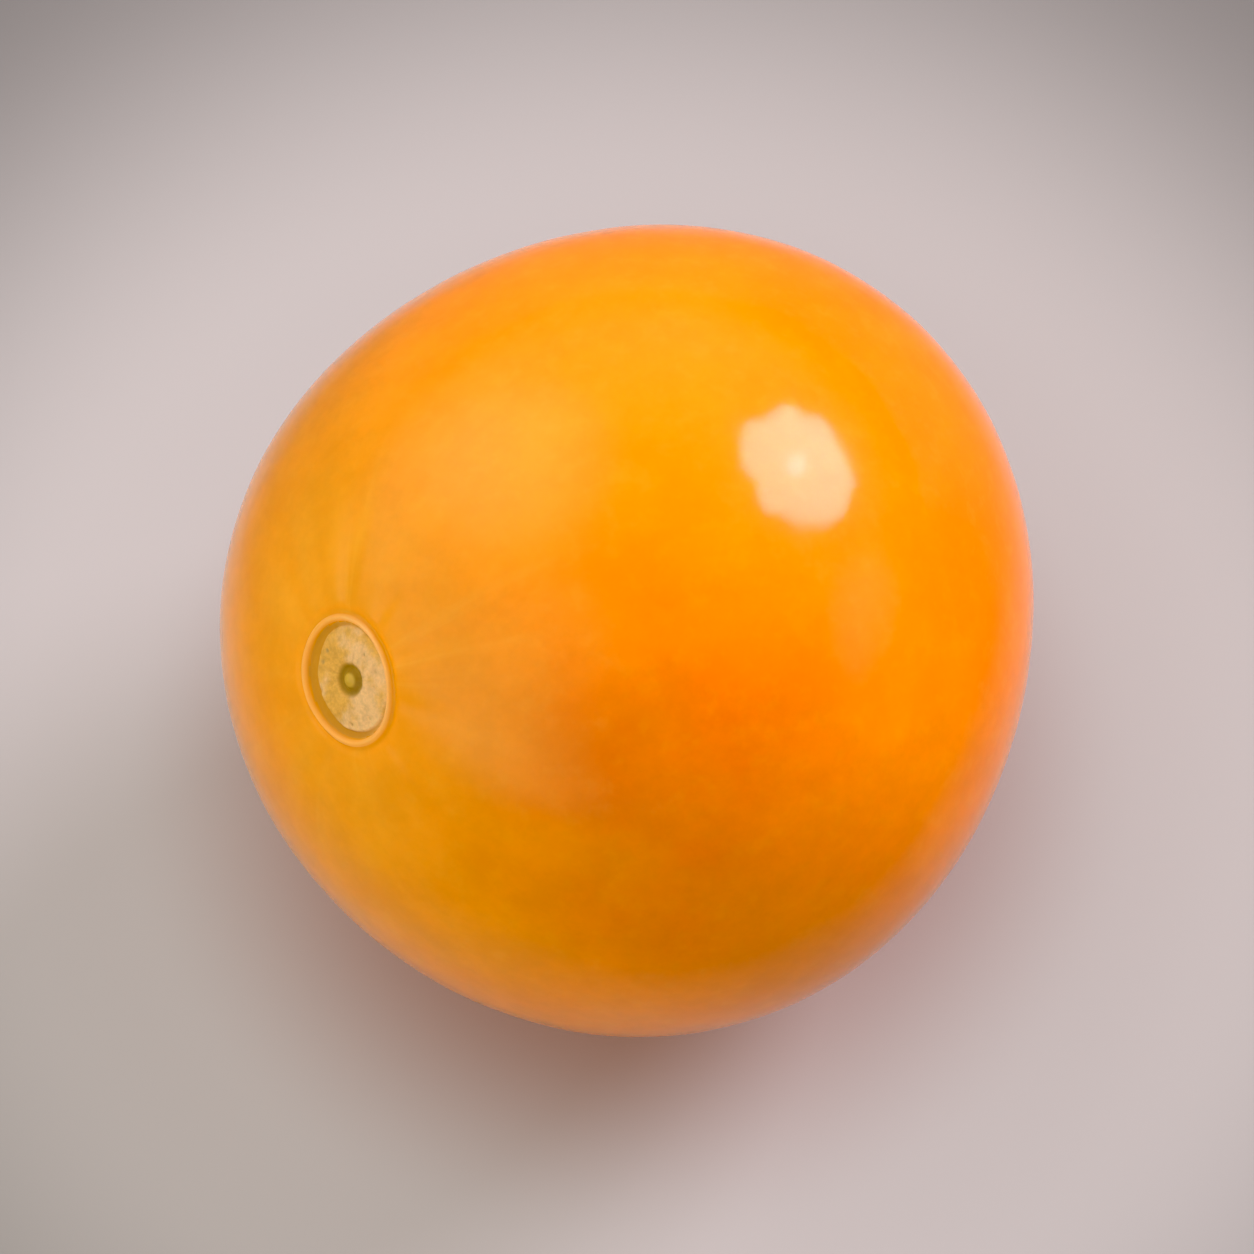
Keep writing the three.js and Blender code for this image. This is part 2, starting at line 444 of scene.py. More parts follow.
def scar_relief(distance, turns, skin, plan, shape):
    """Relief of the scar and its shares, in their order, for the rings that it covers."""
    on_disc = 1 - smooth_step(distance, DISC_RADIUS - DISC_EDGE, DISC_RADIUS + DISC_EDGE)
    cork = cork_relief(distance, turns, skin)
    pits = pit_share(distance, turns, plan)
    gap = gap_share(distance, turns, plan)
    contact = contact_share(distance, turns, plan)
    relief = ring_relief(SCAR_RINGS, distance)
    # The core is round, though the scar round it isn't.
    relief += ring_relief(CORE_RINGS, distance * plan.outline)
    lip_share = LIP_CLOSED_SHARE + (1 - LIP_CLOSED_SHARE) * open_share(turns)
    lip_height = shape.lip_height / MM * plan.lip * lip_share
    relief += hump(distance - LIP_RADIUS, LIP_HALF_WIDTH, lip_height)
    relief -= GAP_DEPTH * gap + CONTACT_DEPTH * contact
    relief -= BUNDLE_DEPTH * pits
    relief -= on_disc * (DISC_DEPTH + DISC_TILT * distance / DISC_RADIUS * np.sin(turns))
    relief += on_disc * CORK_ROUGHNESS * cork * smooth_step(distance, *CORK_START)
    return relief, cork, pits, gap, contact


def shoulder_relief(distance, turns, plan, shape):
    dip = hump(distance, SHOULDER_REACH, -SHOULDER_DEPTH)
    fade = hump(np.maximum(0, distance - CREASE_START), CREASE_REACH, 1)
    start = smooth_step(distance, CREASE_START - CREASE_EDGE, CREASE_START + CREASE_EDGE)
    crease = ((1 + np.cos(CREASE_COUNT * turns)) / 2) ** 3
    return dip - shape.crease_depth / MM * crease * plan.creases * fade * start


def ring_distances(whole):
    """Distances of the rings: close together at both ends, and evenly wider in between."""
    distances = [FINE_SPACING]
    while distances[-1] < whole - 2 * FINE_SPACING:
        here = distances[-1]
        past_fine = max(0.0, min(here - SCAR_EDGE, whole - BLOSSOM_EDGE - here))
        distances.append(here + min(BODY_SPACING, FINE_SPACING + SPACING_GROWTH * past_fine))
    distances = np.array(distances)
    stretch = (whole - FINE_SPACING) / distances[-1]
    return np.where(
        distances > SCAR_EDGE, distances + (stretch - 1) * (distances - SCAR_EDGE), distances
    )


def grid_faces(rings, columns):
    """Quads between neighbouring rings, and a fan at each pole. Vertex 0 is the scar's middle."""
    ring = np.arange(rings - 1)[:, None] * columns + 1
    here = np.arange(columns)[None, :]
    after = (here + 1) % columns
    quads = np.stack(
        [ring + here, ring + columns + here, ring + columns + after, ring + after], -1
    ).reshape(-1, 4)
    last = (rings - 1) * columns + 1
    pole = rings * columns + 1
    fans = [(0, 1 + i, 1 + (i + 1) % columns) for i in range(columns)]
    fans += [(pole, last + (i + 1) % columns, last + i) for i in range(columns)]
    return [*map(tuple, quads.tolist()), *fans]


def fit_to_box(points):
    """Puts the berry in the solid's box, and flattens what would be below the surface."""
    low, high = (np.array(corner) / MM for corner in BERRY_BOX)
    own_low, own_high = points.min(0), points.max(0)
    own_low[2] += REST_FLAT_DEPTH
    fitted = low + (points - own_low) * (high - low) / (own_high - own_low)
    fitted[:, 2] = np.maximum(fitted[:, 2], low[2])
    return fitted


def add_values(mesh, name, values):
    mesh.attributes.new(name, "FLOAT", "POINT").data.foreach_set("value", values.astype("f"))


def berry_mesh(shape):
    radius = shape.mean_radius / MM
    whole = math.pi * radius
    rings = ring_distances(whole)
    turns = np.linspace(0, 2 * math.pi, COLUMNS, endpoint=False)
    # The poles are rings of no size, of which one point each is kept.
    distances = np.concatenate([[0.0], rings, [whole]])
    distance = np.repeat(distances[:, None], COLUMNS, axis=1)
    skin = skin_directions(distances, turns, radius)
    plan = ScarPlan(turns, shape.seed)

    # Rings near the scar follow its uneven outline, and those further out are round.
    uneven = 1 + (plan.outline - 1) * (1 - smooth_step(distance, SCAR_EDGE, ROUND_AGAIN))
    from_scar = distance / uneven
    relief = swell_relief(skin) + shoulder_relief(from_scar, turns, plan, shape)
    relief += ring_relief(BLOSSOM_RINGS, whole - distance)
    near = distances < SCAR_REACH
    scar, *shares = scar_relief(from_scar[near], turns, skin[near], plan, shape)
    relief[near] += scar
    cavity = {name: np.zeros(distance.shape) for name in SCAR_SHARES}
    for name, share in zip(SCAR_SHARES, shares):
        cavity[name][near] = share

    body = skin * radius
    dimples = noise_at(body, shape.dimple_size / MM)
    dimples += FINE_DIMPLE_SHARE * noise_at(body, FINE_DIMPLE_SIZE * shape.dimple_size / MM)
    relief += shape.dimple_depth / MM * dimples * smooth_step(distance, *DIMPLE_START)
    points = skin * (egg_radius(skin, radius) + relief)[..., None]

    kept = np.ones(distance.shape, bool)
    kept[0, 1:] = kept[-1, 1:] = False
    mesh = bpy.data.meshes.new("physalis_berry")
    mesh.from_pydata(fit_to_box(points[kept]) * MM, [], grid_faces(len(rings), COLUMNS))
    around = np.stack(np.broadcast_arrays(np.cos(turns), np.sin(turns), 0.0 * distance), -1)
    mesh.attributes.new("around", "FLOAT_VECTOR", "POINT").data.foreach_set(
        "vector", around[kept].astype("f").ravel()
    )
    add_values(mesh, "from_scar", from_scar[kept])
    add_values(mesh, "from_core", distance[kept])
    add_values(mesh, "from_blossom", (whole - distance)[kept])
    for name, values in cavity.items():
        add_values(mesh, name, values[kept])
    return mesh, from_scar[kept]


# Shader tools


def wire(tree, socket, value):
    """Links a socket to another node's output, or sets its own value."""
    if isinstance(value, bpy.types.NodeSocket):
        tree.links.new(value, socket)
    else:
        socket.default_value = value


def colour(value):
    return (*value, 1.0)


def read(tree, name):
    made = tree.nodes.new("ShaderNodeAttribute")
    made.attribute_name = name
    return made


def calc(tree, operation, one, two=0.0):
    made = tree.nodes.new("ShaderNodeMath")
    made.operation = operation
    wire(tree, made.inputs[0], one)
    wire(tree, made.inputs[1], two)
    return made.outputs[0]


def remap(tree, value, low, high, new_low=0.0, new_high=1.0):
    made = tree.nodes.new("ShaderNodeMapRange")
    made.interpolation_type = "SMOOTHSTEP"
    for name, number in (("Value", value), ("From Min", low), ("From Max", high)):
        wire(tree, made.inputs[name], number)
    made.inputs["To Min"].default_value = new_low
    made.inputs["To Max"].default_value = new_high
    return made.outputs["Result"]


def mix(tree, share, one, two, blend="MIX"):
    made = tree.nodes.new("ShaderNodeMix")
    made.data_type = "RGBA"
    made.blend_type = blend
    wire(tree, made.inputs["Factor"], share)
    wire(tree, made.inputs["A"], one)
    wire(tree, made.inputs["B"], two)
    return made.outputs["Result"]


def noisy(tree, place, scale, detail=2.0, roughness=0.5):
    """Noise from 0 to 1, of about scale blobs for each unit of place."""
    made = tree.nodes.new("ShaderNodeTexNoise")
    wire(tree, made.inputs["Vector"], place)
    made.inputs["Scale"].default_value = scale
    made.inputs["Detail"].default_value = detail
    made.inputs["Roughness"].default_value = roughness
    return made.outputs["Fac"]


def ramp(tree, share, stops):
    made = tree.nodes.new("ShaderNodeValToRGB")
    wire(tree, made.inputs["Fac"], share)
    line = made.color_ramp
    line.interpolation = "EASE"
    while len(line.elements) < len(stops):
        line.elements.new(0.5)
    for element, (at, shade) in zip(line.elements, stops):
        element.position = at
        element.color = colour(shade)
    return made.outputs["Color"]


def combine(tree, x, y, z):
    made = tree.nodes.new("ShaderNodeCombineXYZ")
    for socket, value in zip(made.inputs, (x, y, z)):
        wire(tree, socket, value)
    return made.outputs[0]


def scaled(tree, vector, factor):
    made = tree.nodes.new("ShaderNodeVectorMath")
    made.operation = "SCALE"
    wire(tree, made.inputs[0], vector)
    made.inputs["Scale"].default_value = factor
    return made.outputs[0]


def new_material(name):
    """A material with nothing but its output and one principled shader."""
    made = bpy.data.materials.new(name)
    made.use_nodes = True
    tree = made.node_tree
    return made, tree, tree.nodes["Principled BSDF"]


def place_in_mm(tree):
    """The berry's own coordinates in millimetres."""
    made = tree.nodes.new("ShaderNodeTexCoord")
    return scaled(tree, made.outputs["Object"], 1 / MM)


def round_scar(tree, radius):
    """Where a point lies on a circle of this radius round the scar."""
    apart = tree.nodes.new("ShaderNodeSeparateXYZ")
    wire(tree, apart.inputs[0], scaled(tree, read(tree, "around").outputs["Vector"], radius))
    return apart.outputs["X"], apart.outputs["Y"]


def spoke_place(tree, spokes, stretch):
    """Coordinates whose noise runs in streaks out from the scar: spokes of them, stretched."""
    x, y = round_scar(tree, spokes / (2 * math.pi))
    along = calc(tree, "MULTIPLY", read(tree, "from_scar").outputs["Fac"], 1 / stretch)
    return combine(tree, x, y, along)


def near_spot(tree, place, spot, reach, soft):
    """1 at a spot of the skin, fading to 0 over soft millimetres beyond its reach."""
    made = tree.nodes.new("ShaderNodeVectorMath")
    made.operation = "DISTANCE"
    wire(tree, made.inputs[0], place)
    made.inputs[1].default_value = spot
    return remap(tree, made.outputs["Value"], reach, reach + soft, 1.0, 0.0)


def bump(tree, height, depth):
    made = tree.nodes.new("ShaderNodeBump")
    wire(tree, made.inputs["Height"], height)
    made.inputs["Strength"].default_value = 1.0
    made.inputs["Distance"].default_value = depth * MM
    return made.outputs["Normal"]


# Skin
BLUSH_AND_SHADE_AXIS = direction(-79, 48)  # the deep orange patch, riper colour and painted shade in one, looks this way
BLUSH_AND_SHADE_REACH = 1.2  # radius of its deepest part
BLUSH_AND_SHADE_SOFT = 8.5  # width of its border
BLUSH_AND_SHADE_SHARES = (0.45, 0.85)  # how strongly the patch shows where it is faintest and deepest
BORDER_WANDER = 9.0  # how far the borders between the skin's colours waver
FINE_STREAKS = (34, 9.0)  # how many pale streaks go round the scar, and how long they are
BROAD_STREAKS = (14, 12.0)
STREAK_REACH = (2.0, 9.0)  # distances from the scar between which the streaks fade
STREAK_SHARES = (0.3, 0.05)  # how strongly they show before and after
SKIN_MOTTLE = (0.95, 1.045)  # its darkest and lightest shade
FLECK_SHARE = 0.08  # how strongly its pale flecks show
SKIN_WAX = (0.09, 0.12)  # its smallest and greatest roughness
DRY_ROUGHNESS = 0.35  # added on the dry lip and stub
SKIN_PORES = 0.0014  # depth of its pores
SKIN_SCATTER = 1.3  # how far light spreads below it
LIP_SHARE = 0.8  # how strongly the dried colour of the lip shows
LIP_PINK = 0.6  # how pink it is on the closed side of the gap
LIP_BORDER = (0.05, 0.14)  # distances past its ridge between which that colour ends
GAP_SHADE_SHARE = 0.9  # and the dark one of the gap, painted shade
CONTACT_SHADE_SHARE = 0.75  # and that of the line outside the lip, painted shade

# Cork
PINK_SHARE = 0.13  # how much the disc's pink patches gather on its lower side
CORK_FISSURE_SHADE = (0.89, 1.03)  # painted shade of its lowest places, and the shade of its highest
CORK_MOTTLE = (0.92, 1.06)
CORK_PORES = 0.008
CORK_SCATTER = 0.35

# Blobs of colour, gloss and relief, by how many there are to a millimetre
BORDER_BLOBS = 0.16
BLUSH_AND_SHADE_BLOBS = 0.22
MOTTLE_BLOBS = 0.55
WAX_BLOBS = 1.3
FLECK_BLOBS = 1.7
PORE_BLOBS = 5.0
PINK_BLOBS = 1.1
CORK_BLOBS = 14.0
CORK_PORE_BLOBS = 16.0
MOST_NOISE = (0.3, 0.7)  # nearly all of a noise lies between these


def product(tree, *values):
    total = values[0]
    for value in values[1:]:
        total = calc(tree, "MULTIPLY", total, value)
    return total


def shaded(tree, shade, level):
    """A colour made darker or lighter by a number."""
    return mix(tree, 1.0, shade, combine(tree, level, level, level), "MULTIPLY")


def between(one, two, share):
    return tuple(a + (b - a) * share for a, b in zip(one, two))


def skin_colour(tree, place, from_scar, colours):
    """Ochre at the stem end, gold, then amber, with wavering borders and one deep orange patch that is
    partly riper colour and partly painted shade.
    """
    blobs = calc(tree, "SUBTRACT", noisy(tree, place, BORDER_BLOBS, 3.0), 0.5)
    wavered = calc(tree, "ADD", from_scar, product(tree, blobs, BORDER_WANDER))
    # Each colour's place, as a share of the way from the scar to the blossom end
    stops = (
        (0.07, colours.ochre),
        (0.2, between(colours.ochre, colours.golden, 0.4)),
        (0.36, colours.golden),
        (0.62, colours.amber),
    )
    shade = ramp(tree, calc(tree, "DIVIDE", wavered, math.pi * BOX_RADIUS), stops)
    middle = np.array([0.0, 0.0, BOX_RADIUS])
    blush_and_shade = near_spot(tree, place, middle + BLUSH_AND_SHADE_AXIS * BOX_RADIUS, BLUSH_AND_SHADE_REACH, BLUSH_AND_SHADE_SOFT)
    patchy = remap(tree, noisy(tree, place, BLUSH_AND_SHADE_BLOBS, 3.0), *MOST_NOISE, *BLUSH_AND_SHADE_SHARES)
    # The deep orange patch: partly riper colour, partly painted shade
    return mix(tree, product(tree, blush_and_shade, patchy), shade, colour(colours.blush_and_shade))


def skin_streaks(tree, from_scar):
    """Pale streaks under the skin, clearest round the scar."""
    fine = remap(tree, noisy(tree, spoke_place(tree, *FINE_STREAKS), 1.0, 3.0, 0.6), 0.5, 0.8)
    broad = remap(tree, noisy(tree, spoke_place(tree, *BROAD_STREAKS), 1.0, 2.0), 0.45, 0.8)
    fading = remap(tree, from_scar, *STREAK_REACH, *STREAK_SHARES)
    return product(tree, calc(tree, "MAXIMUM", fine, broad), fading)


def skin_material(colours):
    made, tree, shader = new_material("berry_skin")
    place = place_in_mm(tree)
    from_scar = read(tree, "from_scar").outputs["Fac"]
    from_blossom = read(tree, "from_blossom").outputs["Fac"]
    shade = skin_colour(tree, place, from_scar, colours)
    shade = mix(tree, skin_streaks(tree, from_scar), shade, colour(colours.vein))
    mottle = remap(tree, noisy(tree, place, MOTTLE_BLOBS, 5.0, 0.7), *MOST_NOISE, *SKIN_MOTTLE)
    shade = shaded(tree, shade, mottle)
    flecks = remap(tree, noisy(tree, place, FLECK_BLOBS, 2.0, 0.6), 0.48, 0.75, 0.0, FLECK_SHARE)
    shade = mix(tree, flecks, shade, colour(colours.vein))

    # The dry lip of the scar, and the dried stub at the other end
    inner_edge = remap(tree, from_scar, GAP_RADIUS, GAP_RADIUS + GAP_EDGE)
    border = (LIP_RADIUS + away for away in LIP_BORDER)
    outer_edge = remap(tree, from_scar, *border, 1.0, 0.0)
    lip = product(tree, inner_edge, outer_edge)
    # From -0.5 on the closed side of the gap to 0.5 on its open side
    x, y = round_scar(tree, 0.5)
    x = product(tree, x, math.cos(GAP_OPEN_SIDE))
    opened = calc(tree, "ADD", x, product(tree, y, math.sin(GAP_OPEN_SIDE)))
    pink = remap(tree, opened, -0.5, 0.1, LIP_PINK, 0.0)
    dried = mix(tree, pink, colour(colours.lip), colour(colours.cork_pink))
    shade = mix(tree, product(tree, lip, LIP_SHARE), shade, dried)
    # Painted shade: the gap between disc and lip is darkened with the gap colour
    gap = product(tree, read(tree, "gap").outputs["Fac"], GAP_SHADE_SHARE)
    shade = mix(tree, gap, shade, colour(colours.gap))
    # Painted shade: the crease outside the lip is darkened with the gap colour
    contact = product(tree, read(tree, "contact").outputs["Fac"], CONTACT_SHADE_SHARE)
    shade = mix(tree, contact, shade, colour(colours.gap))
    stub = remap(tree, from_blossom, 0.7 * STUB_RADIUS, 1.2 * STUB_RADIUS, 1.0, 0.0)
    shade = mix(tree, stub, shade, colour(colours.stub))

    # Gloss: waxy, a little uneven, and dull where the skin is dry
    dry = calc(tree, "MAXIMUM", lip, stub)
    wax = remap(tree, noisy(tree, place, WAX_BLOBS, 3.0), *MOST_NOISE, *SKIN_WAX)
    gloss = calc(tree, "ADD", wax, product(tree, dry, DRY_ROUGHNESS))
    pores = bump(tree, noisy(tree, place, PORE_BLOBS, 2.0, 0.6), SKIN_PORES)

    wire(tree, shader.inputs["Base Color"], shade)
    wire(tree, shader.inputs["Roughness"], gloss)
    wire(tree, shader.inputs["Normal"], pores)
    shader.inputs["IOR"].default_value = 1.45
    shader.inputs["Specular IOR Level"].default_value = 0.18
    shader.subsurface_method = "BURLEY"
    shader.inputs["Subsurface Weight"].default_value = 0.6
    shader.inputs["Subsurface Radius"].default_value = (1.0, 0.45, 0.15)
    shader.inputs["Subsurface Scale"].default_value = SKIN_SCATTER * MM
    return made


def cork_material(colours):
    """The corky disc of the stem scar, pinker on its lower side, with its core."""
    made, tree, shader = new_material("scar_cork")
    place = place_in_mm(tree)
    from_scar = read(tree, "from_scar").outputs["Fac"]
    x, y = round_scar(tree, PINK_SHARE / DISC_RADIUS)
    lower = product(tree, calc(tree, "ADD", x, product(tree, y, 0.5)), from_scar)
    uneven = calc(tree, "ADD", noisy(tree, place, PINK_BLOBS, 3.0), lower)
    patches = remap(tree, uneven, 0.42, 0.62)
    shade = mix(tree, patches, colour(colours.cork), colour(colours.cork_pink))

    # Painted shade: low places of the cork, its fissures, are darker
    fissure_shade = remap(tree, read(tree, "cork").outputs["Fac"], -0.5, 0.3, *CORK_FISSURE_SHADE)
    shade = shaded(tree, shade, fissure_shade)
    grain = remap(tree, noisy(tree, place, CORK_BLOBS, 3.0, 0.7), *MOST_NOISE, *CORK_MOTTLE)
    shade = shaded(tree, shade, grain)
    pit = remap(tree, read(tree, "pit").outputs["Fac"], 0.25, 0.85, 0.0, 0.85)
    shade = mix(tree, pit, shade, colour(colours.fleck))
    # Painted shade: the gap round the disc is darkened with the gap colour
    gap = remap(tree, read(tree, "gap").outputs["Fac"], 0.15, 0.85, 0.0, 0.95)
    shade = mix(tree, gap, shade, colour(colours.gap))
    from_core = read(tree, "from_core").outputs["Fac"]
    core = remap(tree, from_core, 0.8 * CORE_RADIUS, 1.1 * CORE_RADIUS, 0.9, 0.0)
    shade = mix(tree, core, shade, colour(colours.core))
    pip = remap(tree, from_core, 0.3 * CORE_RADIUS, 0.5 * CORE_RADIUS, 1.0, 0.0)
    shade = mix(tree, pip, shade, colour(colours.pip))
    pores = bump(tree, noisy(tree, place, CORK_PORE_BLOBS, 4.0, 0.7), CORK_PORES)
    wire(tree, shader.inputs["Base Color"], shade)
    wire(tree, shader.inputs["Roughness"], remap(tree, pip, 0.0, 1.0, 0.7, 0.45))
    wire(tree, shader.inputs["Normal"], pores)
    shader.inputs["Specular IOR Level"].default_value = 0.3
    shader.inputs["Subsurface Weight"].default_value = 0.25
    shader.inputs["Subsurface Radius"].default_value = (1.0, 0.6, 0.3)
    shader.inputs["Subsurface Scale"].default_value = CORK_SCATTER * MM
    return made


class PHYSALIS_OT_berry(bpy.types.Operator):
    """Adds the ripe berry, as one closed skin in place of the solid berry."""

    bl_idname = "mesh.physalis_berry"
    bl_label = "Physalis Berry"
    bl_options = {"REGISTER", "UNDO"}

    def execute(self, context):
        mesh, from_scar = berry_mesh(context.scene.physalis_shape)
        berry = bpy.data.objects.new("physalis_berry", mesh)
        context.collection.objects.link(berry)
        mesh.materials.append(skin_material(context.scene.physalis_colours))
        mesh.materials.append(cork_material(context.scene.physalis_colours))
        # Faces inside the gap round the disc are cork, and all others are skin.
        corners = np.array([from_scar[face.vertices[0]] for face in mesh.polygons])
        mesh.polygons.foreach_set("material_index", (corners < GAP_RADIUS).astype("i"))
        mesh.shade_smooth()
        mesh.update()
        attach(berry, "root")
        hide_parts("berry")
        return {"FINISHED"}


# The studio
FLOOR_RADIUS = 1.5  # in metres
FLOOR_SIDES = 96
# Distances from the berry's middle, in millimetres, between which the floor's painted glow grows from a
# painted contact shadow to its full strength, and the floor darkens from a painted pool of light to the
# far floor
PAINTED_SHADOW_FADE = (7.5, 14.5)
PAINTED_POOL_FADE = (17, 32)
KEY_DIRECTION = Vector(direction(36.4, 32.8))
KEY_DISTANCE = 0.9  # in metres
KEY_HALF_ANGLE = math.radians(14.5)
KEY_COLOUR = (1.0, 0.935, 1.1)
KEY_CRUMPLE = 0.5  # how far its outline departs from an octagon
KEY_CRUMPLE_BLOBS = 5.0  # how many dents there are along its side
KEY_CORE = 1.7  # how much brighter the middle of the soft box is than its edge
KEY_CORE_FADE = (0.07, 0.25)  # shares of its width between which that middle ends

# The room grows darker from its walls' top to the ceiling, and down to the walls' foot. Angles
# are above level, in degrees, and shares are of the walls' brightness.
WALL_FOOT = 20
WALL_FOOT_SHARE = 0.2
WALL_TOP = 12
CEILING_START = 62
CEILING_SHARE = 0.1
ROOM_COLOUR = (0.98, 0.98, 1.0)

# Brighter patches of the room: where each is, its radius and where it has faded, in degrees, and
# its brightness, where 1 is that of the walls
ROOM_PATCHES = (
    (direction(188, 24), 10, 80, 1.55),
    (direction(130, 46), 3, 30, 2.4),
    (direction(-2, 15), 6, 17, 1.4),
    (direction(-112, 28), 10, 60, 1.12),
)
BLACK_LEVEL = (0.008, 0.01, 0.022)  # the picture's contrast: what is darker comes out black


def octagon_share(tree):
    """How far out in an eight-sided soft box a point of the light lies, from 0 to 1 at its rim."""
    made = tree.nodes.new("ShaderNodeNewGeometry")
    apart = tree.nodes.new("ShaderNodeSeparateXYZ")
    wire(tree, apart.inputs[0], made.outputs["Parametric"])
    x = calc(tree, "ABSOLUTE", calc(tree, "SUBTRACT", apart.outputs["X"], 0.5))
    y = calc(tree, "ABSOLUTE", calc(tree, "SUBTRACT", apart.outputs["Y"], 0.5))
    corner = calc(tree, "MULTIPLY", calc(tree, "ADD", x, y), math.sqrt(0.5))
    return calc(tree, "MULTIPLY", calc(tree, "MAXIMUM", calc(tree, "MAXIMUM", x, y), corner), 2.0)


def uneven_octagon(tree):
    """The octagon's share, with the edge of the soft box a little crumpled."""
    made = tree.nodes.new("ShaderNodeNewGeometry")
    crumple = calc(tree, "SUBTRACT", noisy(tree, made.outputs["Parametric"], KEY_CRUMPLE_BLOBS), 0.5)
    return calc(tree, "ADD", octagon_share(tree), product(tree, crumple, KEY_CRUMPLE))


def add_key_light(context, target, radiance):
    side = 2 * KEY_DISTANCE * math.tan(KEY_HALF_ANGLE)
    light = bpy.data.lights.new("soft_box", "AREA")
    light.shape = "SQUARE"
    light.size = side
    light.energy = math.pi * side**2
    light.color = KEY_COLOUR
    light.use_nodes = True
    tree = light.node_tree
    emission = tree.nodes["Emission"]
    share = uneven_octagon(tree)
    inside = calc(tree, "LESS_THAN", share, 1.0)
    glow = remap(tree, share, *KEY_CORE_FADE, radiance * KEY_CORE, radiance)
    wire(tree, emission.inputs["Strength"], calc(tree, "MULTIPLY", glow, inside))
    lamp = bpy.data.objects.new("soft_box", light)
    lamp.location = target + KEY_DIRECTION * KEY_DISTANCE
    lamp.rotation_euler = KEY_DIRECTION.to_track_quat("Z", "Y").to_euler()
    context.collection.objects.link(lamp)


def room_light(tree):
    """How bright the room is in each direction, where 1 is its walls."""
    towards = tree.nodes.new("ShaderNodeTexCoord").outputs["Generated"]
    apart = tree.nodes.new("ShaderNodeSeparateXYZ")
    wire(tree, apart.inputs[0], towards)
    low, high = (math.sin(math.radians(angle)) for angle in (WALL_TOP, CEILING_START))
    total = remap(tree, apart.outputs["Z"], low, high, 1.0, CEILING_SHARE)
    for axis, reach, fade, brightness in ROOM_PATCHES:
        along = tree.nodes.new("ShaderNodeVectorMath")
        along.operation = "DOT_PRODUCT"
        wire(tree, along.inputs[0], towards)
        along.inputs[1].default_value = axis
        far, near = (math.cos(math.radians(angle)) for angle in (fade, reach))
        patch = remap(tree, along.outputs["Value"], far, near, 0.0, brightness)
        total = calc(tree, "ADD", total, patch)
    foot = math.sin(math.radians(WALL_FOOT))
    return product(tree, total, remap(tree, apart.outputs["Z"], 0.0, foot, WALL_FOOT_SHARE, 1.0))


def add_room(context, radiance):
    world = bpy.data.worlds.new("pale_room")
    world.use_nodes = True
    tree = world.node_tree
    world.cycles.sampling_method = "NONE"
    background = tree.nodes["Background"]
    background.inputs["Color"].default_value = colour(ROOM_COLOUR)
    wire(tree, background.inputs["Strength"], product(tree, room_light(tree), radiance))
    context.scene.world = world


def floor_material(studio):
    """A pale patch on a darker floor, a painted pool of light, with a painted glow as if lit from
    below; near the berry the glow is weak and warm, a painted contact shadow with painted warm light.
    """
    made, tree, shader = new_material("pale_floor")
    away = tree.nodes.new("ShaderNodeVectorMath")
    away.operation = "LENGTH"
    wire(tree, away.inputs[0], place_in_mm(tree))
    # Painted pool of light: paler round the berry, darker further out
    outside = remap(tree, away.outputs["Value"], *PAINTED_POOL_FADE)
    shade = mix(tree, outside, colour(studio.floor_colour), colour(studio.floor_far))
    # Painted contact shadow: near the berry the glow is the dim warm tint
    past_painted_shadow = remap(tree, away.outputs["Value"], *PAINTED_SHADOW_FADE)
    glow = mix(tree, past_painted_shadow, colour(studio.floor_painted_shadow_tint), shade)
    wire(tree, shader.inputs["Base Color"], shade)
    shader.inputs["Roughness"].default_value = 0.6
    shader.inputs["Specular IOR Level"].default_value = 0.1
    # Painted light: the floor's glow
    wire(tree, shader.inputs["Emission Color"], glow)
    shader.inputs["Emission Strength"].default_value = studio.floor_painted_glow
    return made


def add_floor(context, studio):
    turns = np.linspace(0, 2 * math.pi, FLOOR_SIDES, endpoint=False)
    rim = np.stack([np.cos(turns), np.sin(turns), 0 * turns], -1) * FLOOR_RADIUS
    mesh = bpy.data.meshes.new("floor")
    mesh.from_pydata(rim.tolist(), [], [tuple(range(len(turns)))])
    mesh.materials.append(floor_material(studio))
    floor = bpy.data.objects.new("floor", mesh)
    floor.location.z = CAD_BOX[0].z
    context.collection.objects.link(floor)


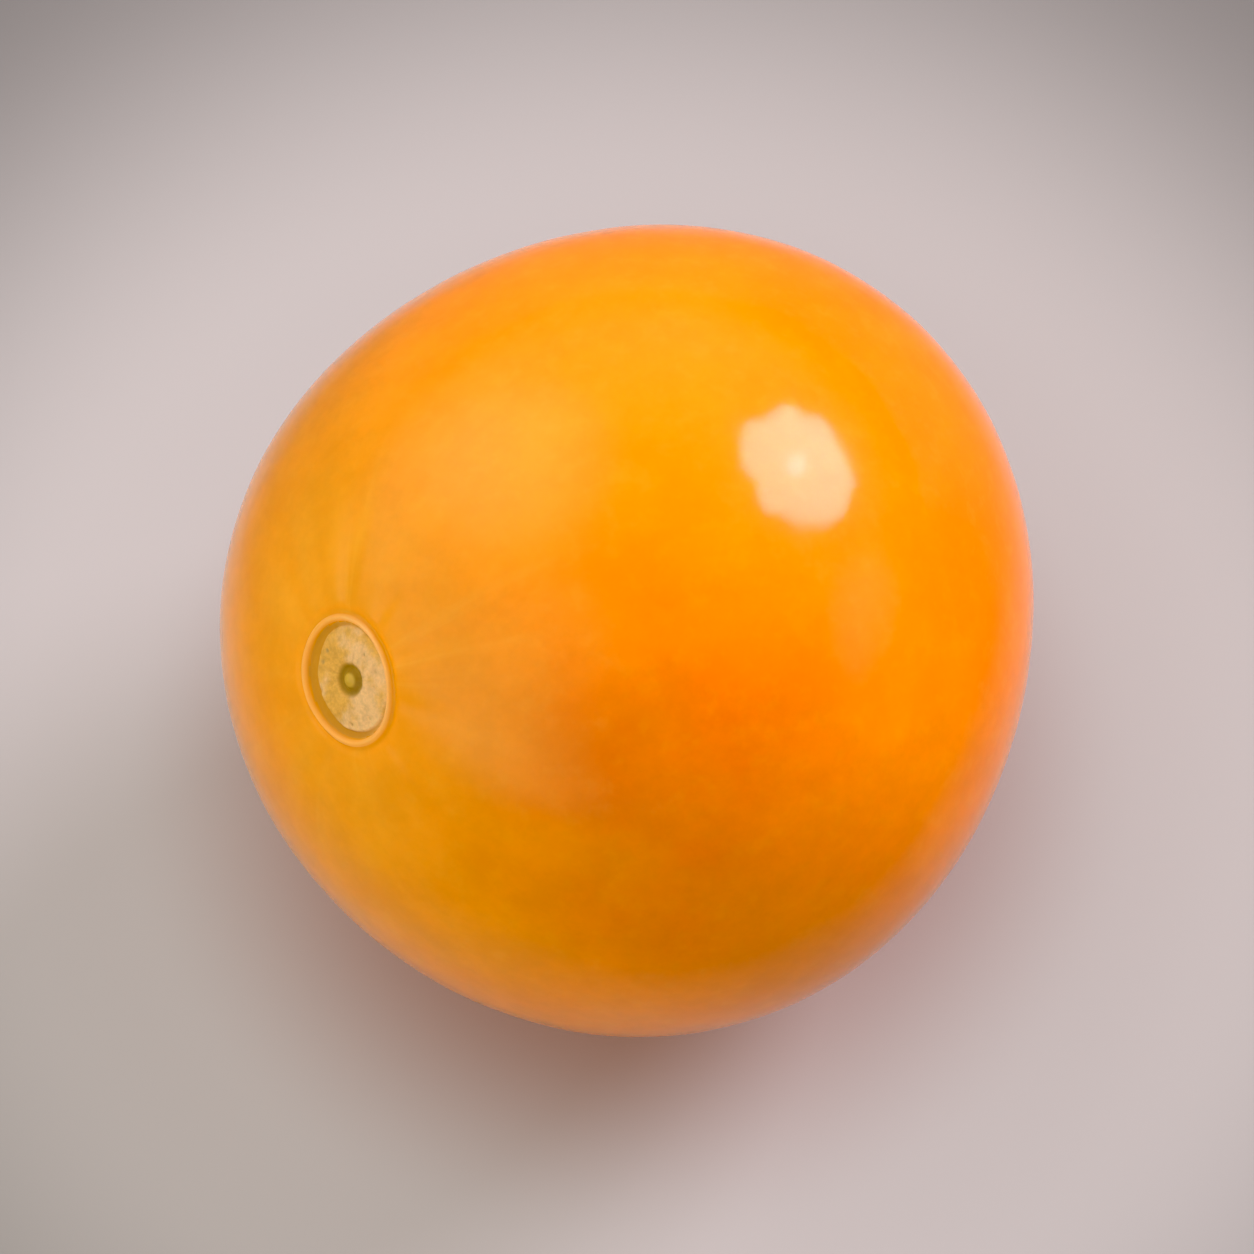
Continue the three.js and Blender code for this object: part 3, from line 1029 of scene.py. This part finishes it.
def add_camera(context, target, studio):
    elevation = studio.camera_elevation
    back = Vector((0.0, -math.cos(elevation), math.sin(elevation)))
    shown = (CAD_BOX[1] - CAD_BOX[0]).x / studio.frame_share
    data = bpy.data.cameras.new("camera")
    data.sensor_width = 36.0
    data.lens = data.sensor_width * studio.camera_distance / shown
    data.clip_start = 0.01
    camera = bpy.data.objects.new("camera", data)
    camera.location = target + back * studio.camera_distance
    camera.rotation_euler = back.to_track_quat("Z", "Y").to_euler()
    context.collection.objects.link(camera)
    context.scene.camera = camera


def set_contrast(view):
    view.view_transform = "Standard"
    view.use_curve_mapping = True
    view.curve_mapping.black_level = BLACK_LEVEL
    view.curve_mapping.update()


class PHYSALIS_OT_stage(bpy.types.Operator):
    """Adds the pale floor, the soft light and the camera."""

    bl_idname = "scene.physalis_stage"
    bl_label = "Pale Studio"
    bl_options = {"REGISTER", "UNDO"}

    def execute(self, context):
        studio = context.scene.physalis_studio
        target = (CAD_BOX[0] + CAD_BOX[1]) / 2
        add_floor(context, studio)
        add_key_light(context, target, studio.key_radiance)
        add_room(context, studio.room_radiance)
        add_camera(context, target, studio)
        set_contrast(context.scene.view_settings)
        return {"FINISHED"}


class PHYSALIS_PT_panel(bpy.types.Panel):
    """Lists the pieces of the berry scene, with their settings."""

    bl_idname = "PHYSALIS_PT_panel"
    bl_label = "Physalis Berry"
    bl_space_type = "VIEW_3D"
    bl_region_type = "UI"
    bl_category = "Physalis"

    def draw(self, context):
        groups = (
            (PHYSALIS_OT_berry, context.scene.physalis_shape),
            (None, context.scene.physalis_colours),
            (PHYSALIS_OT_stage, context.scene.physalis_studio),
        )
        for operator, settings in groups:
            column = self.layout.column(align=True)
            for name in settings.__annotations__:
                column.prop(settings, name)
            if operator:
                self.layout.operator(operator.bl_idname)


CLASSES = (
    BerryShape,
    BerryColours,
    StudioSettings,
    PHYSALIS_OT_berry,
    PHYSALIS_OT_stage,
    PHYSALIS_PT_panel,
)
SCENE_SETTINGS = {
    "physalis_shape": BerryShape,
    "physalis_colours": BerryColours,
    "physalis_studio": StudioSettings,
}


def register():
    for made in CLASSES:
        bpy.utils.register_class(made)
    for name, group in SCENE_SETTINGS.items():
        setattr(bpy.types.Scene, name, PointerProperty(type=group))


def unregister():
    for name in SCENE_SETTINGS:
        delattr(bpy.types.Scene, name)
    for made in reversed(CLASSES):
        bpy.utils.unregister_class(made)


def main():
    register()
    bpy.ops.mesh.physalis_berry()
    bpy.ops.scene.physalis_stage()


if __name__ == "__main__":
    main()
